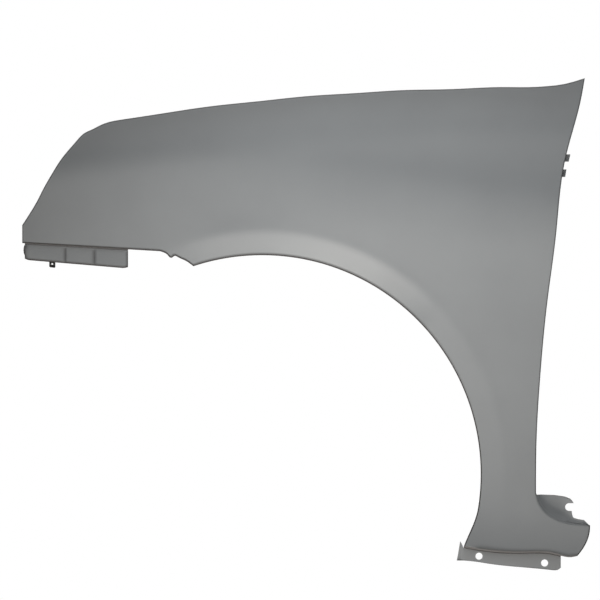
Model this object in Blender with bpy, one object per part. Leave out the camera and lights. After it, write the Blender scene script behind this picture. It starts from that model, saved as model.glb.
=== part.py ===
import bmesh
import bpy
import math
import numpy as np
from mathutils import Matrix, Vector

# Front fender panel, left side: one pressed sheet. Metres, +X to the car's rear, +Y inboard, +Z up.
# The drawing origin is the wheel centre. Shares of a reach are measured from there.

# Main sizes
wheel_arch_radius = 0.350
leg_width = 0.0884
door_sweep = 0.0784
nose_length = 0.2748
crown_rise = 0.2836
leg_depth = 0.0382
sheet_thickness = 0.0008
bend_radius = 0.0022

# Wheel arch, from its front end to its toe
arch_front_degrees = 108.27
arch_back_degrees = -19.8
arch_toe_degrees = -9.0
arch_toe_share = 0.980

# Top edge: shares of the reaches from the wheel centre, and of the crown rise above the arch
nose_edge_shares = (
    (-1.0, 0.1707), (-0.973, 0.227), (-0.94, 0.3007), (-0.908, 0.3845), (-0.874, 0.4638),
    (-0.84, 0.5369), (-0.807, 0.5934), (-0.774, 0.6448), (-0.741, 0.6895), (-0.707, 0.7118),
    (-0.674, 0.7348), (-0.64, 0.752),
)
crown_edge_shares = (
    (-0.574, 0.7688), (-0.408, 0.8025), (-0.208, 0.842), (-0.008, 0.8702), (0.142, 0.8983),
    (0.291, 0.9153), (0.4396, 0.9323), (0.588, 0.9379), (0.737, 0.9493), (0.836, 0.9493),
    (0.886, 0.9549), (0.91, 0.9591), (0.935, 0.966), (0.96, 0.9774), (0.985, 0.9902),
    (1.0, 1.0),
)
# Door edge: shares of the tail reach and of the crown height
door_edge_shares = (
    (1.0, 1.0), (0.9845, 0.9343), (0.96, 0.861), (0.935, 0.7803), (0.91, 0.606),
    (0.885, 0.447), (0.861, 0.2424), (0.85, 0.0859), (0.8483, -0.0473),
)
# Edges of the leg: shares of the leg reach and leg depth, from the back end of the arch
door_gap_shares = (
    (0.596, 2.2577), (0.6126, 1.8876), (0.6703, 1.4499), (0.7939, 0.9474), (0.9175, 0.7377),
    (1.0413, 0.7795),
)
# Chin: shares of the nose length and crown rise, from the front end of the arch
nose_foot_share = 0.1312
nub_shares = (
    (-0.194, 0.0848), (-0.1723, 0.0774), (-0.1511, 0.0647), (-0.1408, 0.0524), (-0.1306, 0.0472),
    (-0.1201, 0.0513), (-0.1102, 0.0586), (-0.0898, 0.0513), (-0.0485, 0.0325),
)
sill_crease_shares = (
    (-0.0002, 0.0214), (0.1, -0.1019), (0.2169, -0.1835), (0.4807, -0.2452), (0.7526, -0.3088),
    (0.8189, -0.4043), (0.8828, -0.4441), (0.9374, -0.3884),
)
lobe_bulge = 0.0050

# Stations of the ribs along the lower edge, front to back, and the rows along each rib
chin_station_shares = (
    -1.0, -0.9832, -0.958, -0.909, -0.8423, -0.8248, -0.8073, -0.7562, -0.7466, -0.7371,
    -0.6642, -0.5867, -0.5773, -0.5679, -0.4893, -0.4012, -0.3821, -0.3507, -0.2864, -0.2304,
)
chin_flange_end_share = -0.3821
swage_station_shares = (-0.7466, -0.5773)
tab_station_shares = (-0.8423, -0.8248, -0.8073)
arch_ribs = 63
sill_station_shares = (
    0.0547, 0.1213, 0.1878, 0.2544, 0.321, 0.3875, 0.4541, 0.5207, 0.5873, 0.6538,
    0.7204, 0.7737, 0.8104, 0.8535, 0.8961, 0.9374,
)
sill_flange_end_share = 0.8104
lower_row_reaches = (0.0, 0.010, 0.020, 0.0285, 0.0345, 0.0405, 0.051)
upper_row_reaches = (0.048, 0.031, 0.018, 0.008, 0.0)
middle_rows = 3
full_rib_length = 0.160

# Rib heads on the outer edge matched with rib feet on the lower edge
crown_match_shares = ((-1.0, 0.0), (-0.3821, 0.123), (-0.0051, 0.235))
crown_top_degrees = 90.0
crown_top_match_share = 0.430
door_match_degrees = (52.0, 43.0, 34.0, 25.0, 16.0, 6.0, -10.8)
door_match_shares = (0.0, 0.20, 0.38, 0.545, 0.70, 0.84, 1.0)
gap_corner_share = 0.13

# Section of the side: slopes at heights from the shoulder line, as shares of the crown's height
section_height_shares = (
    -1.048, -1.010, -0.947, -0.884, -0.821, -0.694, -0.473, -0.316, -0.174, -0.095, -0.047,
    -0.016, 0.047, 0.095, 0.221,
)
section_slope_shares = (
    0.30, 0.25, 0.17, 0.09, 0.02, -0.03, -0.07, -0.10, -0.105, -0.06, -0.01, 0.05, 0.08, 0.10, 0.12,
)
shoulder_height_share = 0.817
shoulder_fall_share = 0.1208
ledge_slope_share = 0.20
ledge_width = 0.016
ledge_front_share = -0.208
ledge_back_share = 0.813
roll_reach = 0.088
roll_slope_share = 0.80
roll_power = 1.35
roll_line_shares = (
    (-1.0, 0.6828), (-0.64, 0.752), (-0.408, 0.8025), (-0.008, 0.8702), (0.291, 0.9153),
    (0.588, 0.9379), (0.836, 0.9493), (1.0, 0.9531),
)
nose_bend_share = 0.232
nose_setback = 0.105
nose_power = 2.1

# Lip band round the wheel arch
band_width = 0.0385
band_blend = 0.0065
band_angle_degrees = (42.0, 50.0, 60.0, 70.0, 80.0, 90.0, 98.0, 105.0, 112.0, 120.0)
band_slope_shares = (0.0, 0.09, 0.22, 0.30, 0.31, 0.26, 0.22, 0.17, 0.08, 0.0)
brow_height = 0.0016
brow_width = 0.022

# Return flanges: wall widths
arch_flange = 0.0125
nose_flange = 0.014
door_flange = 0.014
chin_flange_return = 0.009
lobe_flange = 0.005

# Bonnet gutter: wall, then bolt flange with flat pads
gutter_steps = (
    (0.0012, -0.0010), (0.0050, -0.0122), (0.0064, -0.0145), (0.0090, -0.0154), (0.0350, -0.0154),
)
pad_station_shares = (-0.429, 0.232, 0.784)
pad_half = 0.019
pad_blend = 0.016
pad_hole_radius = 0.0045
pad_hole_inset = 0.0242
twin_hole_share = 0.75
twin_pad = 1

# Flanges set back from the skin by a joggle: each row's reach outwards and its share of the set-back
chin_joggle_rows = ((0.0, 0.72), (0.0008, 0.93), (0.0022, 1.0))
sill_joggle_rows = ((0.0, 0.45), (0.0014, 0.80), (0.0042, 0.96), (0.0070, 1.0))
lobe_joggle_rows = ((0.0, 0.52), (0.0014, 0.80), (0.0044, 0.95), (0.0085, 1.0))
chin_setback = 0.0085
chin_plane_slope_share = -0.365
chin_bottom_shares = ((-1.0, 0.0434), (-0.3821, -0.0068))
chin_corner_rise = 0.0016
chin_rim = 0.0022
chin_rim_turn = 0.0014
swage_depth = 0.0020
tab_drop = 0.0090
tab_hole_radius = 0.0016
sill_setback = 0.0135
sill_bottom_shares = (
    (-0.0572, -0.5814), (0.093, -0.6443), (0.2003, -0.7282), (0.7281, -1.0012), (0.7737, -0.9972),
    (0.8104, -0.854),
)
sill_wing_shares = ((-0.0289, 0.2164), (-0.0385, -0.0581), (-0.0465, -0.3092), (-0.0572, -0.5814))
sill_fold_share = -0.0145
sill_wing_turn = 0.004
sill_hole_shares = ((0.1261, -0.4015), (0.6669, -0.686))
sill_hole_radius = 0.0056
flat_row_shares = (0.34, 0.67, 1.0)

# Recessed flange of the rear lobe, and its open slot
lobe_setback = 0.0085
lobe_top_shares = (
    (0.6248, 2.1872), (0.7526, 2.1618), (0.8352, 2.0993), (0.8847, 1.9943), (0.9052, 1.8267),
    (0.8969, 1.6385), (0.8887, 1.4499), (0.9009, 1.2195), (0.9422, 1.1567), (0.9917, 1.1149),
    (1.0248, 0.9474), (1.0453, 0.8216),
)
lobe_gap_match_shares = (0.0, 0.303, 0.50, 0.62, 0.79, 1.0)
lobe_top_match_shares = (0.0, 0.213, 0.442, 0.634, 0.784, 1.0)
lobe_notch_shares = (0.8368, 1.6592)
lobe_notch_radius = 0.0061

# Fork ear on the door edge
ear_top_share = 0.8071
ear_foot_share = 0.7500
ear_reach_top = 0.0062
ear_reach_foot = 0.0050
ear_bend = 0.003
ear_slot_shares = (0.7690, 0.7887)
ear_slot_inset = 0.0040

# Liner holes through the arch flange
liner_hole_degrees = (96.0, 72.0, 44.0, 16.0, -8.0)
liner_hole_radius = 0.003
liner_cut_reach = 0.005
liner_hole_depth_share = 0.60

hole_sides = 18
curve_samples = 600
mitre_limit_share = 0.25
overrun = 0.030
paint_colour = (0.27, 0.28, 0.28, 1.0)
paint_roughness = 0.62
sharp_angle_degrees = 50.0

nose_reach = nose_length - wheel_arch_radius * math.cos(math.radians(arch_front_degrees))
tail_reach = wheel_arch_radius + leg_width + door_sweep
crown_height = wheel_arch_radius + crown_rise


def arch_point(degrees):
    # The arc eases inwards over its last stretch, to the toe
    toe = smooth((arch_toe_degrees - degrees) / (arch_toe_degrees - arch_back_degrees))
    radius = wheel_arch_radius * (1 - (1 - arch_toe_share) * toe)
    turn = math.radians(degrees)
    return radius * math.cos(turn), radius * math.sin(turn)


def smooth(value):
    value = min(max(value, 0), 1)
    return value * value * (3 - 2 * value)


def at_x(share):
    return share * (tail_reach if share >= 0 else nose_reach)


front_x, front_z = arch_point(arch_front_degrees)
back_x, back_z = arch_point(arch_back_degrees)
leg_reach = tail_reach - back_x


def top_places(shares):
    return np.array([(at_x(a), wheel_arch_radius + b * crown_rise) for a, b in shares])


def door_places(shares):
    return np.array([(a * tail_reach, b * crown_height) for a, b in shares])


def chin_places(shares):
    return np.array([(front_x + a * nose_length, front_z + b * crown_rise) for a, b in shares])


def leg_places(shares):
    return np.array([(back_x + a * leg_reach, back_z + b * leg_depth) for a, b in shares])


def arc_lengths(points):
    steps = np.linalg.norm(np.diff(points, axis=0), axis=1)
    return np.concatenate([[0], np.cumsum(steps)])


def natural_spline(points, count):
    # Dense samples of the natural cubic through the points, by chord length
    s = arc_lengths(points)
    n = len(s)
    h = np.diff(s)
    system = np.eye(n)
    right = np.zeros((n, 2))
    for i in range(1, n - 1):
        system[i, i - 1 : i + 2] = h[i - 1], 2 * (h[i - 1] + h[i]), h[i]
        right[i] = 6 * ((points[i + 1] - points[i]) / h[i] - (points[i] - points[i - 1]) / h[i - 1])
    bend = np.linalg.solve(system, right)
    out = []
    for value in np.linspace(0, s[-1], count):
        k = min(int(np.searchsorted(s, value, side="right")) - 1, n - 2)
        a = (s[k + 1] - value) / h[k]
        b = (value - s[k]) / h[k]
        curve = ((a**3 - a) * bend[k] + (b**3 - b) * bend[k + 1]) * h[k] ** 2 / 6
        out.append(a * points[k] + b * points[k + 1] + curve)
    return np.array(out)


def sample(curve, lengths):
    s = arc_lengths(curve)
    return np.column_stack([np.interp(lengths, s, curve[:, 0]), np.interp(lengths, s, curve[:, 1])])


def height_on(curve, x):
    order = np.argsort(curve[:, 0])
    return float(np.interp(x, curve[order, 0], curve[order, 1]))


# Depth of the outer skin, +Y inboard
fine_shares = np.linspace(section_height_shares[0], section_height_shares[-1], curve_samples)
fine_slopes = np.interp(fine_shares, section_height_shares, section_slope_shares)
fine_depths = np.cumsum((fine_slopes[1:] + fine_slopes[:-1]) / 2 * np.diff(fine_shares))
fine_depths = np.concatenate([[0], fine_depths]) * crown_height
roll_line = top_places(roll_line_shares)


def section_depth(height):
    depths = np.interp((height / crown_height, 0), fine_shares, fine_depths)
    return float(depths[0] - depths[1])


def ledge_depth(x, height):
    front, back = at_x(ledge_front_share), at_x(ledge_back_share)
    fade = smooth((x - front) / (back - front))
    rise = (1 + math.erf(height / ledge_width)) / 2
    return fade * ledge_slope_share * ledge_width * math.sqrt(math.pi) * rise


def roll_depth(x, z):
    rolled = max(0, 1 - (height_on(roll_line, x) - z) / roll_reach)
    return roll_slope_share * roll_reach / (roll_power + 1) * rolled ** (roll_power + 1)


def band_depth(x, z):
    angle = math.degrees(math.atan2(z, x))
    slope = float(np.interp(angle, band_angle_degrees, band_slope_shares))
    beyond = math.hypot(x, z) - (wheel_arch_radius + band_width)
    chamfer = max(0, -beyond)
    if abs(beyond) < band_blend:
        chamfer = (band_blend - beyond) ** 2 / (4 * band_blend)
    brow = slope / max(band_slope_shares) * brow_height * math.exp(-((beyond / brow_width) ** 2))
    return slope * chamfer - brow


def skin_depth(x, z):
    bend_start = at_x(nose_bend_share)
    nose = nose_setback * max(0, (bend_start - x) / (bend_start + nose_reach)) ** nose_power
    height = z - (crown_height * shoulder_height_share - shoulder_fall_share * x)
    return nose + section_depth(height) + ledge_depth(x, height) + roll_depth(x, z) + band_depth(x, z)


# Outline curves in x and z
nose_edge_length = arc_lengths(top_places(nose_edge_shares))[-1]
crown = natural_spline(top_places(nose_edge_shares + crown_edge_shares), curve_samples)
gap = natural_spline(leg_places(door_gap_shares), curve_samples)
door_knots = door_places(door_edge_shares)
door_knots[-1] = gap[0]
door = natural_spline(door_knots, curve_samples)
outer = np.vstack([crown, door[1:], gap[1:]])
crown_length = arc_lengths(crown)[-1]
door_length = arc_lengths(door)[-1]
gap_length = arc_lengths(gap)[-1]

chin_line = chin_places(((-1, nose_foot_share), nub_shares[0]))
chin_points = []
for share in chin_station_shares:
    x = front_x + share * nose_length
    chin_points.append((x, height_on(chin_line, x)))
nub_points = chin_places(nub_shares)
arch_degrees = np.linspace(arch_front_degrees, arch_back_degrees, arch_ribs + 1)
arch_points = [arch_point(degrees) for degrees in arch_degrees]
sill_knots = leg_places(sill_crease_shares)
sill_knots[0] = arch_points[-1]
sill_curve = natural_spline(sill_knots, curve_samples)
sill_points = []
for share in sill_station_shares:
    x = back_x + share * leg_reach
    sill_points.append((x, height_on(sill_curve, x)))
feet = np.vstack([chin_points, nub_points, arch_points, sill_points])
arch_start = len(chin_points) + len(nub_points)
sill_start = arch_start + arch_ribs
last_rib = len(feet) - 1

# Heads of the ribs, spaced between matched places and then moved onto the exact ones
foot_lengths = arc_lengths(feet)
match_feet = []
match_heads = []
for station, share in crown_match_shares:
    front_feet = slice(0, arch_start + 1)
    x = front_x + station * nose_length
    match_feet.append(float(np.interp(x, feet[front_feet, 0], foot_lengths[front_feet])))
    match_heads.append(crown_length * share)
arch_heads = [crown_length * crown_top_match_share]
arch_heads += [crown_length + door_length * share for share in door_match_shares]
for degrees, head in zip((crown_top_degrees,) + door_match_degrees, arch_heads):
    rib = arch_start + np.interp(-degrees, -arch_degrees, np.arange(arch_ribs + 1))
    match_feet.append(float(np.interp(rib, np.arange(last_rib + 1), foot_lengths)))
    match_heads.append(head)
match_feet += [foot_lengths[sill_start], foot_lengths[-1]]
match_heads += [
    crown_length + door_length + gap_length * gap_corner_share,
    crown_length + door_length + gap_length,
]
head_lengths = np.interp(foot_lengths, match_feet, match_heads)
moved_ribs = {0, last_rib}


def move_rib(length):
    # The nearest free rib takes this place on the outer edge
    order = [int(i) for i in np.argsort(np.abs(head_lengths - length)) if int(i) not in moved_ribs]
    moved_ribs.add(order[0])
    head_lengths[order[0]] = length


def length_at_station(x):
    return float(np.interp(x, crown[:, 0], arc_lengths(crown)))


def length_at_height(z):
    return crown_length + float(np.interp(-z, -door[:, 1], arc_lengths(door)))


ear_heights = (crown_height * ear_top_share, crown_height * ear_foot_share)
ear_lengths = (length_at_height(ear_heights[0]), length_at_height(ear_heights[1]))
gap_start_length = crown_length + door_length
for length in (nose_edge_length, crown_length, gap_start_length) + ear_lengths:
    move_rib(length)
for share in pad_station_shares:
    for side in (-1, 1):
        move_rib(length_at_station(at_x(share) + side * pad_half))
head_lengths = np.sort(head_lengths)
heads = sample(outer, head_lengths)


def rib_at(length):
    return int(np.argmin(np.abs(head_lengths - length)))


nose_corner_rib = rib_at(nose_edge_length)
tip_rib = rib_at(crown_length)
gap_rib = rib_at(gap_start_length)
ear_ribs = range(rib_at(ear_lengths[0]), rib_at(ear_lengths[1]) + 1)

# Flanged stretches of the edge, as ribs
top_flange_ribs = range(nose_corner_rib + 2, tip_rib - 1)
nose_flange_ribs = range(1, nose_corner_rib)
door_flange_ribs = range(tip_rib + 2, gap_rib - 1)
chin_flange_ribs = range(1, chin_station_shares.index(chin_flange_end_share) + 1)
chin_return_ribs = range(chin_flange_ribs[-1] + 1, len(chin_points) + 2)
arch_flange_ribs = range(arch_start + 1, sill_start - 1)
sill_flange_ribs = range(
    sill_start + 1, sill_start + 2 + sill_station_shares.index(sill_flange_end_share)
)
lobe_return_ribs = range(sill_flange_ribs[-1] + 1, last_rib)
lobe_ribs = range(gap_rib + 1, last_rib)


def rib_reaches(length):
    scale = min(1, length / full_rib_length)
    low = [scale * reach for reach in lower_row_reaches]
    high = [length - scale * reach for reach in upper_row_reaches]
    step = (high[0] - low[-1]) / (middle_rows + 1)
    return low + [low[-1] + step * (k + 1) for k in range(middle_rows)] + high


def rib_points(foot, head, bulge):
    run = head - foot
    length = float(np.linalg.norm(run))
    points = []
    for reach in rib_reaches(length):
        share = reach / length
        bow = bulge * 4 * share * (1 - share)
        points.append((foot[0] + run[0] * share + bow, foot[1] + run[1] * share))
    return points


# Outline loop round the skin, then the same loop set in by the bend radius
row_count = len(lower_row_reaches) + middle_rows + len(upper_row_reaches)
nose_column = rib_points(feet[0], heads[0], 0)
lobe_column = rib_points(feet[-1], heads[-1], lobe_bulge)
loop_places = [(i, 0) for i in range(last_rib + 1)]
loop_places += [(last_rib, j) for j in range(1, row_count - 1)]
loop_places += [(i, row_count - 1) for i in range(last_rib, -1, -1)]
loop_places += [(0, j) for j in range(row_count - 2, 0, -1)]
outline = []
for i, j in loop_places:
    if j == 0:
        outline.append(feet[i])
    elif j == row_count - 1:
        outline.append(heads[i])
    else:
        outline.append(lobe_column[j] if i else nose_column[j])
outline = np.array(outline)
before = outline - np.roll(outline, 1, axis=0)
after = np.roll(outline, -1, axis=0) - outline
before /= np.linalg.norm(before, axis=1)[:, None]
after /= np.linalg.norm(after, axis=1)[:, None]
outward = before + after
outward = np.column_stack([outward[:, 1], -outward[:, 0]]) / np.linalg.norm(outward, axis=1)[:, None]
half_turns = np.sqrt(np.maximum((1 + np.sum(before * after, axis=1)) / 2, mitre_limit_share))
outward /= half_turns[:, None]
inset = outline - outward * bend_radius
loop_index = {place: k for k, place in enumerate(loop_places)}
for i, bulge in ((0, 0), (last_rib, lobe_bulge)):
    corners = [inset[loop_index[(i, j)]] for j in (0, row_count - 1)]
    column = rib_points(corners[0], corners[1], bulge)
    for j in range(1, row_count - 1):
        inset[loop_index[(i, j)]] = column[j]

verts = []
faces = []


def add_vert(x, y, z):
    verts.append((x, y, z))
    return len(verts) - 1


def add_strip(first, second, closed=False):
    count = len(first)
    for a in range(count if closed else count - 1):
        b = (a + 1) % count
        faces.append((first[a], first[b], second[b], second[a]))


# Skin
skin = []
for i in range(last_rib + 1):
    foot = inset[loop_index[(i, 0)]]
    head = inset[loop_index[(i, row_count - 1)]]
    column = []
    for j, (x, z) in enumerate(rib_points(foot, head, 0)):
        if (i, j) in loop_index:
            x, z = inset[loop_index[(i, j)]]
        column.append(add_vert(x, skin_depth(x, z), z))
    skin.append(column)
for first, second in zip(skin, skin[1:]):
    add_strip(first, second)

# Rolled edge: a quarter bend all round
edge = [skin[i][j] for i, j in loop_places]
edge_depths = [verts[v][1] for v in edge]
for turn in (math.pi / 4, math.pi / 2):
    ring = []
    for k in range(len(outline)):
        x, z = inset[k] + outward[k] * bend_radius * math.sin(turn)
        ring.append(add_vert(x, edge_depths[k] + bend_radius * (1 - math.cos(turn)), z))
    add_strip(edge, ring, closed=True)
    edge = ring


def foot_edge(ribs):
    return [edge[loop_index[(i, 0)]] for i in ribs]


def head_edge(ribs):
    return [edge[loop_index[(i, row_count - 1)]] for i in ribs]


def return_wall(root, width):
    wall = [add_vert(verts[v][0], verts[v][1] + width - bend_radius, verts[v][2]) for v in root]
    add_strip(root, wall)
    return wall


return_wall(foot_edge(arch_flange_ribs), arch_flange)
return_wall(foot_edge(chin_return_ribs), chin_flange_return)
return_wall(foot_edge(lobe_return_ribs), lobe_flange)
return_wall(head_edge(nose_flange_ribs), nose_flange)
return_wall([edge[loop_index[(last_rib, j)]] for j in range(1, row_count - 1)], lobe_flange)
door_wall = return_wall(head_edge(door_flange_ribs), door_flange)

# Fork ear: the door flange's inner edge turned back out
ear_root = [door_wall[door_flange_ribs.index(i)] for i in ear_ribs]
ear_plane = max(verts[v][1] for v in ear_root) + ear_bend
ear_near = []
ear_edge = []
for v, i in zip(ear_root, ear_ribs):
    x, y, z = verts[v]
    up = (z - verts[ear_root[-1]][2]) / (verts[ear_root[0]][2] - verts[ear_root[-1]][2])
    ear_near.append(add_vert(x + ear_bend / 2, ear_plane, z))
    ear_edge.append(add_vert(x + ear_reach_foot + (ear_reach_top - ear_reach_foot) * up, ear_plane, z))
add_strip(ear_root, ear_near)
add_strip(ear_near, ear_edge)


# Bonnet gutter and bolt flange
def pad_level(x, z):
    # The flange is level at each bolt pad and follows the crown between them
    for share in pad_station_shares:
        station = at_x(share)
        hold = 1 - smooth((abs(x - station) - pad_half) / pad_blend)
        z = z * (1 - hold) + height_on(crown, station) * hold
    return z


root = head_edge(top_flange_ribs)
previous = root
for count, (inboard, rise) in enumerate(gutter_steps):
    ring = []
    for v in root:
        x, y, z = verts[v]
        base = z if count == 0 else pad_level(x, z)
        ring.append(add_vert(x, y + inboard, base + rise))
    add_strip(previous, ring)
    previous = ring


def joggle(root, directions, setback_plane, rows):
    # Wall inboard from the rolled edge, then a bend out to the set-back plane
    previous = root
    for reach, depth_share in rows:
        ring = []
        for v, (out_x, out_z) in zip(root, directions):
            x, y, z = verts[v]
            x += out_x * reach
            z += out_z * reach
            start = y - bend_radius
            ring.append(add_vert(x, start + (setback_plane(x) - start) * depth_share, z))
        add_strip(previous, ring)
        previous = ring
    return previous


# Bumper flange under the chin: flat between two swages, with a turned rim and a small tab
chin_bottom = chin_places(chin_bottom_shares)
chin_datum = feet[chin_flange_ribs[0]]
chin_datum_depth = skin_depth(chin_datum[0], chin_datum[1]) + chin_setback


def chin_plane(x):
    return chin_datum_depth + chin_plane_slope_share * (x - chin_datum[0])


chin_root = foot_edge(chin_flange_ribs)
chin_base = joggle(chin_root, [(0, -1)] * len(chin_root), chin_plane, chin_joggle_rows)
chin_feet = []
for i in chin_flange_ribs:
    corner = chin_corner_rise if i in (chin_flange_ribs[0], chin_flange_ribs[-1]) else 0
    chin_feet.append(height_on(chin_bottom, feet[i, 0]) + corner)
previous = chin_base
for share in flat_row_shares:
    ring = []
    for top, foot, i in zip(chin_base, chin_feet, chin_flange_ribs):
        x, y, z = verts[top]
        pressed = swage_depth if chin_station_shares[i] in swage_station_shares else 0
        ring.append(add_vert(x, chin_plane(x) + pressed, z + (foot + chin_rim - z) * share))
    add_strip(previous, ring)
    previous = ring
rim = [
    add_vert(feet[i, 0], chin_plane(feet[i, 0]) + chin_rim_turn, foot)
    for i, foot in zip(chin_flange_ribs, chin_feet)
]
add_strip(previous, rim)
tab_root = [v for v, i in zip(rim, chin_flange_ribs) if chin_station_shares[i] in tab_station_shares]
tab_foot = [add_vert(verts[v][0], verts[v][1], verts[v][2] - tab_drop) for v in tab_root]
add_strip(tab_root, tab_foot)

# Sill flange: set back from the crease, then flat, with a wing at its front end
sill_bottom = natural_spline(leg_places(sill_bottom_shares), curve_samples)
sill_datum = sill_knots[2]
sill_plane = skin_depth(sill_datum[0], sill_datum[1]) + sill_setback
sill_root = foot_edge(sill_flange_ribs)
previous = joggle(sill_root, [(0, -1)] * len(sill_root), lambda x: sill_plane, sill_joggle_rows)
sill_columns = [[v] for v in previous]
for column in sill_columns:
    x, y, z = verts[column[0]]
    for share in flat_row_shares:
        column.append(add_vert(x, sill_plane, z + (height_on(sill_bottom, x) - z) * share))
for first, second in zip(sill_columns, sill_columns[1:]):
    add_strip(first, second)
fold_column = []
wing_column = []
sill_fold = back_x + sill_fold_share * leg_reach
for v, (x, z) in zip(sill_columns[0], leg_places(sill_wing_shares)):
    fold_column.append(add_vert(sill_fold, sill_plane, (verts[v][2] + z) / 2))
    wing_column.append(add_vert(x, sill_plane + sill_wing_turn, z))
add_strip(fold_column, sill_columns[0])
add_strip(wing_column, fold_column)

# Recessed flange of the lobe: in from the door gap, then flat up to its own edge
lobe_top = leg_places(lobe_top_shares)
lobe_top_length = arc_lengths(lobe_top)[-1]
lobe_plane = skin_depth(heads[gap_rib, 0], heads[gap_rib, 1]) + lobe_setback
lobe_root = head_edge(lobe_ribs)
lobe_targets = []
lobe_directions = []
for v, i in zip(lobe_root, lobe_ribs):
    along = (head_lengths[i] - gap_start_length) / gap_length
    across = float(np.interp(along, lobe_gap_match_shares, lobe_top_match_shares))
    target = sample(lobe_top, [across * lobe_top_length])[0]
    run = target - np.array((verts[v][0], verts[v][2]))
    length = float(np.linalg.norm(run))
    lobe_targets.append(target)
    lobe_directions.append(run / max(length, 2 * lobe_joggle_rows[-1][0]))
lobe_base = joggle(lobe_root, lobe_directions, lambda x: lobe_plane, lobe_joggle_rows)
previous = lobe_base
for share in flat_row_shares:
    ring = []
    for v, target in zip(lobe_base, lobe_targets):
        x, y, z = verts[v]
        ring.append(add_vert(x + (target[0] - x) * share, lobe_plane, z + (target[1] - z) * share))
    add_strip(previous, ring)
    previous = ring

# The frame's origin: the twin-hole bolt pad, on the underside of the bonnet flange
twin_x = at_x(pad_station_shares[twin_pad])


def pad_place(share):
    x = at_x(share)
    z = height_on(crown, x)
    return x, skin_depth(x, z) + pad_hole_inset, z + gutter_steps[-1][1]


origin = np.array(pad_place(pad_station_shares[twin_pad])) - (0, 0, sheet_thickness)

for obj in list(bpy.data.objects):
    bpy.data.objects.remove(obj, do_unlink=True)

mesh = bpy.data.meshes.new("fender_panel")
mesh.from_pydata([tuple(np.array(v) - origin) for v in verts], [], faces)
panel = bpy.data.objects.new("fender_panel", mesh)
bpy.context.scene.collection.objects.link(panel)
work = bmesh.new()
work.from_mesh(mesh)
bmesh.ops.recalc_face_normals(work, faces=work.faces)
work.faces.ensure_lookup_table()
if work.faces[0].normal.y > 0:
    bmesh.ops.reverse_faces(work, faces=work.faces)
work.to_mesh(mesh)
work.free()

primer = bpy.data.materials.new("grey primer")
primer.use_nodes = True
shader = primer.node_tree.nodes["Principled BSDF"]
shader.inputs["Base Color"].default_value = paint_colour
shader.inputs["Roughness"].default_value = paint_roughness
mesh.materials.append(primer)

sheet = panel.modifiers.new("sheet", "SOLIDIFY")
sheet.thickness = sheet_thickness
sheet.offset = -1.0
sheet.use_even_offset = True
sheet.use_quality_normals = True


def cut_with(name, points, sides):
    shape = bpy.data.meshes.new(name)
    shape.from_pydata(points, [], sides)
    cutter = bpy.data.objects.new(name, shape)
    bpy.context.scene.collection.objects.link(cutter)
    cutter.hide_render = True
    cutter.display_type = "WIRE"
    cut = panel.modifiers.new(name, "BOOLEAN")
    cut.operation = "DIFFERENCE"
    cut.solver = "EXACT"
    cut.object = cutter


def cut_round(name, centre, axis, radius, reach):
    work = bmesh.new()
    bmesh.ops.create_cone(
        work, cap_ends=True, segments=hole_sides, radius1=radius, radius2=radius, depth=reach * 2
    )
    turn = Vector((0, 0, 1)).rotation_difference(Vector(axis)).to_matrix().to_4x4()
    place = Matrix.Translation(Vector(np.array(centre) - origin))
    bmesh.ops.transform(work, matrix=place @ turn, verts=work.verts)
    work.verts.index_update()
    points = [tuple(v.co) for v in work.verts]
    sides = [[v.index for v in f.verts] for f in work.faces]
    work.free()
    cut_with(name, points, sides)


def cut_box(name, low, high):
    low = np.array(low) - origin
    high = np.array(high) - origin
    points = [(x, y, z) for x in (low[0], high[0]) for y in (low[1], high[1]) for z in (low[2], high[2])]
    cut_with(
        name, points, [(0, 1, 3, 2), (4, 6, 7, 5), (0, 4, 5, 1), (2, 3, 7, 6), (0, 2, 6, 4), (1, 5, 7, 3)]
    )


# Holes and slots
for count, share in enumerate(pad_station_shares):
    x, y, z = pad_place(share)
    sides = (-1, 1) if count == twin_pad else (0,)
    for side in sides:
        place = (x + side * pad_half * twin_hole_share, y, z)
        cut_round(f"pad hole {count} {side}", place, (0, 0, 1), pad_hole_radius, pad_hole_radius)
for count, (x, z) in enumerate(leg_places(sill_hole_shares)):
    cut_round(f"sill hole {count}", (x, sill_plane, z), (0, 1, 0), sill_hole_radius, overrun)
for count, degrees in enumerate(liner_hole_degrees):
    turn = math.radians(degrees)
    x, z = wheel_arch_radius * math.cos(turn), wheel_arch_radius * math.sin(turn)
    place = (x, skin_depth(x, z) + arch_flange * liner_hole_depth_share, z)
    axis = (math.cos(turn), 0, math.sin(turn))
    cut_round(f"liner hole {count}", place, axis, liner_hole_radius, liner_cut_reach)
tab_x = front_x + tab_station_shares[1] * nose_length
tab_z = height_on(chin_bottom, tab_x) - tab_drop / 2
tab_place = (tab_x, chin_plane(tab_x) + chin_rim_turn, tab_z)
cut_round("tab hole", tab_place, (0, 1, 0), tab_hole_radius, overrun)
notch_x, notch_z = leg_places([lobe_notch_shares])[0]
notch_x += lobe_notch_radius
cut_round("lobe notch", (notch_x, lobe_plane, notch_z), (0, 1, 0), lobe_notch_radius, overrun)
cut_box(
    "lobe notch mouth",
    (notch_x, lobe_plane - overrun, notch_z - lobe_notch_radius),
    (notch_x + overrun, lobe_plane + overrun, notch_z + lobe_notch_radius),
)
slot_low, slot_high = (crown_height * share for share in ear_slot_shares)
slot_left = sample(door, [length_at_height(slot_low) - crown_length])[0][0] - ear_slot_inset
cut_box(
    "ear slot",
    (slot_left, ear_plane - ear_bend / 2, slot_low),
    (slot_left + overrun, ear_plane + overrun, slot_high),
)

bpy.ops.object.select_all(action="DESELECT")
panel.select_set(True)
bpy.context.view_layer.objects.active = panel
bpy.ops.object.shade_smooth()
mesh.set_sharp_from_angle(angle=math.radians(sharp_angle_degrees))
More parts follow.
